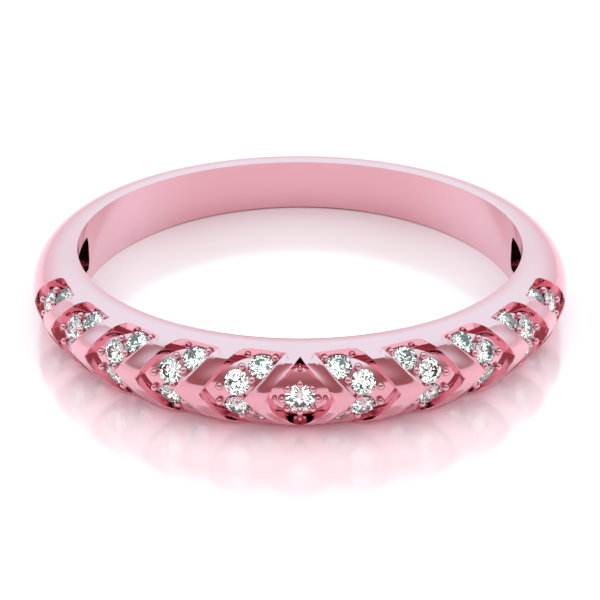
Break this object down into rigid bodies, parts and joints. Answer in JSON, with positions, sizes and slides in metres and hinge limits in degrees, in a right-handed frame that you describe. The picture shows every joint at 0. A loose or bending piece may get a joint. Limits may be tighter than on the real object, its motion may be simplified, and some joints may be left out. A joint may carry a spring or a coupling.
{
  "type": "wedding band",
  "caption": "Half-round wedding band with chevron pockets and a centre lozenge of bead-set round stones along its front half.",
  "frame": {"origin": "centre of the finger bore, at the band's mid-plane", "axes": "+Z along the finger bore; the stone-set front faces -Y and the plain back +Y; +X to the wearer's right seen from the front"},
  "size_m": [0.0206, 0.0205, 0.003],
  "materials": {
    "rose_gold": "high polish",
    "diamond": "faceted and polished"
  },
  "bodies": {
    "root": {"band": "rose_gold", "stone_centre": "diamond", "stone_left_1_upper_tip": "diamond", "stone_left_1_upper_apex": "diamond", "stone_left_1_lower_apex": "diamond", "stone_left_1_lower_tip": "diamond", "stone_left_2_upper_tip": "diamond", "stone_left_2_upper_apex": "diamond", "stone_left_2_lower_apex": "diamond", "stone_left_2_lower_tip": "diamond", "stone_left_3_upper_tip": "diamond", "stone_left_3_upper_apex": "diamond", "stone_left_3_lower_apex": "diamond", "stone_left_3_lower_tip": "diamond", "stone_left_4_upper_tip": "diamond", "stone_left_4_upper_apex": "diamond", "stone_left_4_lower_apex": "diamond", "stone_left_4_lower_tip": "diamond", "stone_left_5_upper_tip": "diamond", "stone_left_5_upper_apex": "diamond", "stone_left_5_lower_apex": "diamond", "stone_left_5_lower_tip": "diamond", "stone_right_1_upper_tip": "diamond", "stone_right_1_upper_apex": "diamond", "stone_right_1_lower_apex": "diamond", "stone_right_1_lower_tip": "diamond", "stone_right_2_upper_tip": "diamond", "stone_right_2_upper_apex": "diamond", "stone_right_2_lower_apex": "diamond", "stone_right_2_lower_tip": "diamond", "stone_right_3_upper_tip": "diamond", "stone_right_3_upper_apex": "diamond", "stone_right_3_lower_apex": "diamond", "stone_right_3_lower_tip": "diamond", "stone_right_4_upper_tip": "diamond", "stone_right_4_upper_apex": "diamond", "stone_right_4_lower_apex": "diamond", "stone_right_4_lower_tip": "diamond", "stone_right_5_upper_tip": "diamond", "stone_right_5_upper_apex": "diamond", "stone_right_5_lower_apex": "diamond", "stone_right_5_lower_tip": "diamond"}
  },
  "joints": []
}
